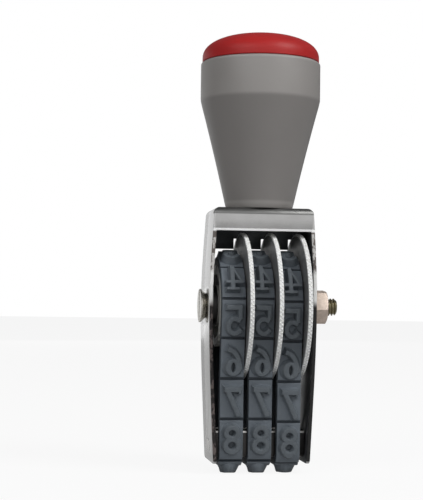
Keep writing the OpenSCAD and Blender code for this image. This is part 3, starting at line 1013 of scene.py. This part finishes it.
def softened(node, name, edge, hem=None):
    """A copy of a solid with its doubles merged and its sharp edges broken.

    The edges that hem says yes to are rounded more than the others.
    """
    piece = twin(frame["nodes"][node], name)
    piece.scale = (1 / MM, 1 / MM, 1 / MM)
    applied(piece)
    edit(piece)
    bpy.ops.mesh.select_all(action="SELECT")
    bpy.ops.mesh.remove_doubles(threshold=FINE)
    bpy.ops.mesh.dissolve_limited(angle_limit=math.radians(0.5))
    bpy.ops.mesh.normals_make_consistent(inside=False)
    if hem:
        select_where(piece, "EDGE", hem)
        bpy.ops.mesh.bevel(offset=HEM_ROUND, segments=3, affect="EDGES")
    done()
    with_modifier(piece, "BEVEL", width=edge, segments=2, limit_method="ANGLE",
                  angle_limit=math.radians(40), harden_normals=False)
    smooth(piece, 35)
    return stands_for(piece, node)


def on_hem(edge):
    """Whether an edge is the lower outer one of the yoke's front skirt."""
    return all(
        abs(v.co.z - SKIRT_Z) < 0.02 and v.co.y < 0.05 - YOKE_D / 2 and abs(v.co.x) < 11
        for v in edge.verts
    )


softened("yoke", "folded_yoke", 0.1, on_hem)
softened("platen", "platen_channel", 0.08)
softened("axle_nut", "hexagon_nut", 0.07)


# ---------------------------------------------------------------- grip and cap

GRIP_R = 13.5
FOOT_R = 7.5
FOOT_ROUND = 0.25
WALL = 1.9
FLARE_H = FLARE_TOP_Z - TOP_Z
BOWL = 0.1       # how much of the flare's growth comes late
# The break to the rim, by depths inside it and heights over the flare's top
RIM_BREAK = ((0.16, -0.5), (0.03, 0.1), (0, 0.7))
LIP_R = 0.6
LIP_DROP = 0.1
FLOOR_Z = 68.6
FLOOR_ROOM = 0.4  # the inner face has no point closer to the floor
SCREW_R = 2
SCREW_TOP_Z = 67.1
TURN_STEPS = 144


def flare(share, inset):
    """The flare's radius at a share of its height, or that of its inner face."""
    return FOOT_R - inset + (GRIP_R - FOOT_R) * ((1 - BOWL) * share + BOWL * share**2)


def grip():
    """The flared grip, whose floor has a blind hole for its screw."""
    shares = [i / 20 for i in range(21)]
    outside = [(flare(s, 0), TOP_Z + FLARE_H * s) for s in shares[1:-1]]
    inside = [(flare(s, WALL), TOP_Z + FLARE_H * s) for s in reversed(shares[:-1])]
    inside = [(r, z) for r, z in inside if z > FLOOR_Z + FLOOR_ROOM]
    floor_r = flare((FLOOR_Z - TOP_Z) / FLARE_H, WALL)
    piece = turned("flared_grip", [
        (0, SCREW_TOP_Z), (SCREW_R, SCREW_TOP_Z), (SCREW_R, TOP_Z),
        (FOOT_R - FOOT_ROUND, TOP_Z), (FOOT_R, TOP_Z + FOOT_ROUND),
        *outside,
        *[(GRIP_R - depth, FLARE_TOP_Z + height) for depth, height in RIM_BREAK],
        *arc((GRIP_R - LIP_R, CAP_Z - LIP_R - LIP_DROP), (LIP_R, LIP_R), 0, 70, 5),
        (GRIP_R - LIP_R, CAP_Z), (GRIP_R - WALL, CAP_Z), (GRIP_R - WALL, FLARE_TOP_Z),
        *inside,
        (floor_r, FLOOR_Z), (0, FLOOR_Z),
    ], TURN_STEPS)
    smooth(piece, 30)
    return stands_for(piece, "grip")


CAP_R = 13.2
DOME_Z = 92.7
DOME_H = 5.45
DOME_FULLNESS = 0.88     # 1 is an ellipse, and less is fuller
DOME_STEPS = 32
HOLLOW_R = 9.95
HOLLOW_H = 4.7
PLUG_R = 11.55
PLUG_H = 4
PLUG_ROUND = 0.2
SEAT_GAP = 0.03
EDGE_W = 0.15            # the broken edge round the cap's foot
EDGE_H = 0.2


def cap():
    """The domed cap, with its plug and the hollow in it."""
    turns = [math.radians(90 * i / DOME_STEPS) for i in range(1, DOME_STEPS + 1)]
    dome = [
        (
            CAP_R * math.sin(a) ** DOME_FULLNESS,
            DOME_Z + DOME_H * max(0, math.cos(a)) ** DOME_FULLNESS,
        )
        for a in turns
    ]
    seat_z = CAP_Z + SEAT_GAP
    piece = turned("domed_cap", [
        (0, DOME_Z + DOME_H), *dome,
        (CAP_R, CAP_Z + EDGE_H), (CAP_R - EDGE_W, seat_z), (PLUG_R, seat_z),
        (PLUG_R, CAP_Z - PLUG_H + PLUG_ROUND), (PLUG_R - PLUG_ROUND, CAP_Z - PLUG_H),
        (HOLLOW_R, CAP_Z - PLUG_H),
        *arc((0, CAP_Z), (HOLLOW_R, HOLLOW_H), 0, 90, DOME_STEPS)[:-1],
        (0, CAP_Z + HOLLOW_H),
    ], TURN_STEPS)
    smooth(piece, 30)
    return stands_for(piece, "grip_cap")


grip()
cap()


# ---------------------------------------------------------------- axle screw

THREAD_PITCH = 0.7
CREST_R = 1.96
ROOT_R = 1.53
HEAD_R = 3.75
HEAD_X = -13.315
HEAD_RIM = 0.3
HEAD_ROUND = 0.06
TIP_X = 17.875
SLOT_W = 1.0
SLOT_DEPTH = 1.0
# The thread is drawn from this far below the tip, which is inside the nut
THREAD_L = 4.4
THREAD_TURNS = 7
THREAD_STEPS = 48
# Heights in one turn at which the thread's flanks start and end
FLANKS = (0.06, 0.3, 0.4, 0.64)
SUNK = 0.05      # how deep the thread's root lies in its shank
RUN_OUT = 0.4    # where the shank narrows to the root, from the thread's start
TRIM_START = 0.3
TRIM_TIP = 0.02
TIP_BREAK = 0.1
CHAMFER_H = 1.4


def screw():
    """Slotted countersunk screw whose thread starts inside the nut."""
    length = TIP_X - HEAD_X
    start = length - THREAD_L
    head = turned("shank", [
        (0, 0), (HEAD_R - HEAD_ROUND, 0), (HEAD_R, HEAD_ROUND), (HEAD_R, HEAD_RIM),
        (CREST_R, HEAD_RIM + HEAD_R - CREST_R), (CREST_R, start),
        (ROOT_R, start + RUN_OUT), (ROOT_R, length - TIP_BREAK),
        (ROOT_R - TIP_BREAK, length), (0, length),
    ], 2 * THREAD_STEPS)
    slot = block("slot", (0, 0, 0), (4 * HEAD_R, SLOT_W, 2 * SLOT_DEPTH))
    with_modifier(head, "BOOLEAN", operation="DIFFERENCE", solver="EXACT", object=slot)
    bpy.data.objects.remove(slot)
    # One turn of the thread's outline, wound up and cut off square
    root = ROOT_R - SUNK
    flanks = zip((root, CREST_R, CREST_R, root), FLANKS)
    thread = drawn(
        "thread", [(root, 0), *flanks, (root, THREAD_PITCH)], lift=start - RUN_OUT
    )
    done()
    with_modifier(thread, "SCREW", screw_offset=THREAD_PITCH, iterations=THREAD_TURNS,
                  steps=THREAD_STEPS, render_steps=THREAD_STEPS, axis="Z",
                  use_merge_vertices=True)
    merged(thread, 2 * FINE)
    edit(thread)
    for z, below in ((start + TRIM_START, True), (length - TRIM_TIP, False)):
        bpy.ops.mesh.select_all(action="SELECT")
        bpy.ops.mesh.bisect(plane_co=(0, 0, z), plane_no=(0, 0, 1), use_fill=True,
                            clear_inner=below, clear_outer=not below)
    bpy.ops.mesh.select_all(action="SELECT")
    bpy.ops.mesh.normals_make_consistent(inside=False)
    done()
    # The tip's chamfer: only the part of the thread inside this shape is kept
    wide, low = 3, start - 1
    chamfer = turned("chamfer", [
        (0, low), (wide, low), (wide, length - CHAMFER_H), (root, length), (0, length),
    ], THREAD_STEPS)
    with_modifier(thread, "BOOLEAN", operation="INTERSECT", solver="EXACT", object=chamfer)
    bpy.data.objects.remove(chamfer)
    piece = united(head, [thread])
    piece.name = piece.data.name = "slotted_screw"
    onto_axle(piece, HEAD_X)
    merged(piece, FINE)
    sealed(piece)
    smooth(piece, 30)
    return stands_for(piece, "axle_screw")


screw()


# ---------------------------------------------------------------- solids that stay

for node, solid in frame["nodes"].items():
    if not solid.hide_render:
        solid.data.materials.clear()
        solid.data.materials.append(FINISHES[SLOT_OF[node]])


# ---------------------------------------------------------------- camera and light

def camera():
    """Looks a little up at the stamp's front from its left."""
    azimuth, elevation, roll = map(math.radians, (7.574, 2.283, 0.733))
    ahead = Vector((
        math.sin(azimuth) * math.cos(elevation),
        math.cos(azimuth) * math.cos(elevation),
        math.sin(elevation),
    ))
    level = Vector((math.cos(azimuth), -math.sin(azimuth), 0))
    over = level.cross(ahead)
    right = math.cos(roll) * level + math.sin(roll) * over
    up = math.cos(roll) * over - math.sin(roll) * level
    data = bpy.data.cameras.new("camera")
    data.sensor_width = 36
    data.lens = 102.205
    data.clip_start, data.clip_end = 0.01, 20
    made = linked("camera", data)
    turn = Matrix((right, up, -ahead)).transposed().to_4x4()
    made.matrix_world = Matrix.Translation((-0.052661, -0.315614, 0.036596)) @ turn
    bpy.context.scene.camera = made


def lamp(name, place, target, size, watts):
    """A softbox of a width and height that points at target."""
    data = bpy.data.lights.new(name, "AREA")
    data.shape = "RECTANGLE"
    data.size, data.size_y = size
    data.energy = watts
    made = linked(name, data)
    made.visible_camera = False
    made.location = place
    aim = Vector(target) - Vector(place)
    made.rotation_euler = aim.to_track_quat("-Z", "Y").to_euler()


def plain(level):
    """A grey, from 0 for black to 1 for white."""
    return (level, level, level, 1)


def studio_floor():
    """A pale floor that takes the stamp's shadow and lights it from below."""
    deselect()
    bpy.ops.mesh.primitive_circle_add(
        vertices=64, radius=4, fill_type="NGON", location=(0, 0, -0.05 * MM)
    )
    piece = named("studio_floor")
    n = Nodes(bpy.data.materials.new("pale_floor"))
    rays = n.node("ShaderNodeLightPath", out="Is Camera Ray")
    mirrored = n.node("ShaderNodeLightPath", out="Is Glossy Ray") * 0.35
    card = n.node("ShaderNodeBsdfDiffuse", inputs={"Color": plain(0.86), "Roughness": 0})
    bounce = n.node("ShaderNodeBsdfDiffuse", inputs={"Color": plain(0.4), "Roughness": 0})
    glow = n.node("ShaderNodeEmission", inputs={"Color": plain(1), "Strength": 1.0})
    shown = n.node("ShaderNodeMixShader", inputs={0: 0.9, 1: card, 2: glow})
    unseen = n.node("ShaderNodeMixShader", inputs={0: mirrored, 1: bounce, 2: glow})
    both = n.node("ShaderNodeMixShader", inputs={0: rays, 1: unseen, 2: shown})
    n.node("ShaderNodeOutputMaterial", inputs={"Surface": both})
    piece.data.materials.append(n.owner)


def backdrop():
    """A world that is white to look at and a soft pale grey as a light."""
    world = bpy.data.worlds.new("studio")
    bpy.context.scene.world = world
    n = Nodes(world)
    rays = n.node("ShaderNodeLightPath", out="Is Camera Ray")
    sky = n.node(
        "ShaderNodeBackground", inputs={"Color": (0.62, 0.63, 0.65, 1), "Strength": 0.22}
    )
    white = n.node("ShaderNodeBackground", inputs={"Color": plain(1), "Strength": 1.0})
    both = n.node("ShaderNodeMixShader", inputs={0: rays, 1: sky, 2: white})
    n.node("ShaderNodeOutputWorld", inputs={"Surface": both})


def lamps():
    middle = (0, 0, 0.05)
    lamp("key_softbox", (0.5, -0.42, 0.64), middle, (0.34, 0.5), 4.0)
    lamp("left_softbox", (-0.75, -0.7, 0.75), middle, (0.7, 0.7), 3.4)
    lamp("front_softbox", (0.0, -1.3, 0.58), (0, 0, 0.1), (2.4, 1.22), 7.4)
    lamp("rear_softbox", (-0.35, 1.0, 0.2), middle, (1.4, 0.44), 1.25)


camera()
studio_floor()
backdrop()
lamps()
bpy.context.scene.view_settings.view_transform = "Standard"

bpy.context.view_layer.update()
